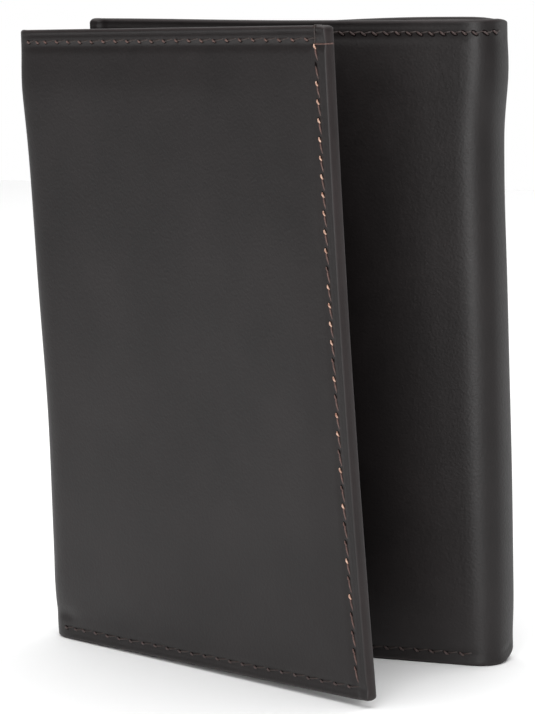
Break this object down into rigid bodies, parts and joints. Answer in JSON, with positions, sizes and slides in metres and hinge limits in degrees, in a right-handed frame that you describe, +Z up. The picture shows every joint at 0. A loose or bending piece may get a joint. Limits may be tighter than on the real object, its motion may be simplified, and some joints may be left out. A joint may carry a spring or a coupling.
{
  "type": "trifold wallet",
  "caption": "Trifold wallet standing on its bottom edge, front flap ajar: dark leather shell, open-top bill compartment, stepped card slots and a clear ID window",
  "frame": {"origin": "the middle of the centre panel's bottom edge, on the surface that the wallet stands on, in the middle of the shell leather's thickness", "axes": "+Z up along the folds, +Y out through the wallet's back, +X towards the fold of the tuck flap, so the front flap opens towards -Y and -X"},
  "size_m": [0.083, 0.0438, 0.108],
  "materials": {
    "shell_leather": "smooth satin",
    "hem_leather": "smooth satin",
    "inner_leather": "satin",
    "lining_fabric": "fine woven",
    "clear_vinyl": "clear gloss",
    "thread": "twisted thread"
  },
  "bodies": {
    "centre": {"centre_bill_wall": "inner_leather", "centre_bottom_stitches": "thread", "centre_lining": "lining_fabric", "centre_shell": "shell_leather", "centre_slip_pocket": "inner_leather", "centre_top_hem": "hem_leather", "centre_top_stitches": "thread", "id_frame_stitches": "thread", "id_window_frame": "inner_leather", "id_window_vinyl": "clear_vinyl"},
    "left_gusset_a": {"left_gusset_a_bill_wall": "inner_leather", "left_gusset_a_lining": "lining_fabric", "left_gusset_a_shell": "shell_leather"},
    "left_gusset_b": {"left_gusset_b_bill_wall": "inner_leather", "left_gusset_b_bottom_stitches": "thread", "left_gusset_b_lining": "lining_fabric", "left_gusset_b_shell": "shell_leather", "left_gusset_b_top_stitches": "thread"},
    "front_flap": {"front_flap_bill_wall": "inner_leather", "front_flap_bottom_stitches": "thread", "front_flap_card_slot_1": "inner_leather", "front_flap_card_slot_2": "inner_leather", "front_flap_card_slot_3": "inner_leather", "front_flap_lining": "lining_fabric", "front_flap_shell": "shell_leather", "front_flap_side_stitches": "thread", "front_flap_slot_backing": "lining_fabric", "front_flap_top_hem": "hem_leather", "front_flap_top_stitches": "thread"},
    "right_gusset": {"right_gusset_bill_wall": "inner_leather", "right_gusset_lining": "lining_fabric", "right_gusset_shell": "shell_leather"},
    "tuck_flap": {"tuck_flap_bill_wall": "inner_leather", "tuck_flap_bottom_stitches": "thread", "tuck_flap_card_slot_1": "inner_leather", "tuck_flap_card_slot_2": "inner_leather", "tuck_flap_card_slot_3": "inner_leather", "tuck_flap_lining": "lining_fabric", "tuck_flap_shell": "shell_leather", "tuck_flap_side_stitches": "thread", "tuck_flap_slot_backing": "lining_fabric", "tuck_flap_top_hem": "hem_leather", "tuck_flap_top_stitches": "thread"}
  },
  "joints": [
    {"name": "spine_unfold", "type": "hinge", "parent": "centre", "child": "left_gusset_a", "pos_m": [-0.041, 0, 0], "axis": [0, 0, -1], "range_deg": [0, 90]},
    {"name": "front_flap_open", "type": "hinge", "parent": "left_gusset_a", "child": "left_gusset_b", "pos_m": [-0.041, -0.012, 0], "axis": [0, 0, -1], "range_deg": [0, 67.5]},
    {"name": "front_flap_close", "type": "hinge", "parent": "left_gusset_b", "child": "front_flap", "pos_m": [-0.03361, -0.01506, 0], "axis": [0, 0, 1], "range_deg": [0, 22.5]},
    {"name": "right_fold_unfold", "type": "hinge", "parent": "centre", "child": "right_gusset", "pos_m": [0.041, 0, 0], "axis": [0, 0, 1], "range_deg": [0, 10]},
    {"name": "tuck_flap_lift", "type": "hinge", "parent": "right_gusset", "child": "tuck_flap", "pos_m": [0.041, -0.009, 0], "axis": [0, 0, 1], "range_deg": [0, 45]}
  ],
  "couplings": [
    {"joint": "front_flap_open", "follows": "spine_unfold", "ratio": 0.75},
    {"joint": "right_fold_unfold", "follows": "spine_unfold", "ratio": 0.11111},
    {"joint": "tuck_flap_lift", "follows": "spine_unfold", "ratio": 0.5}
  ]
}
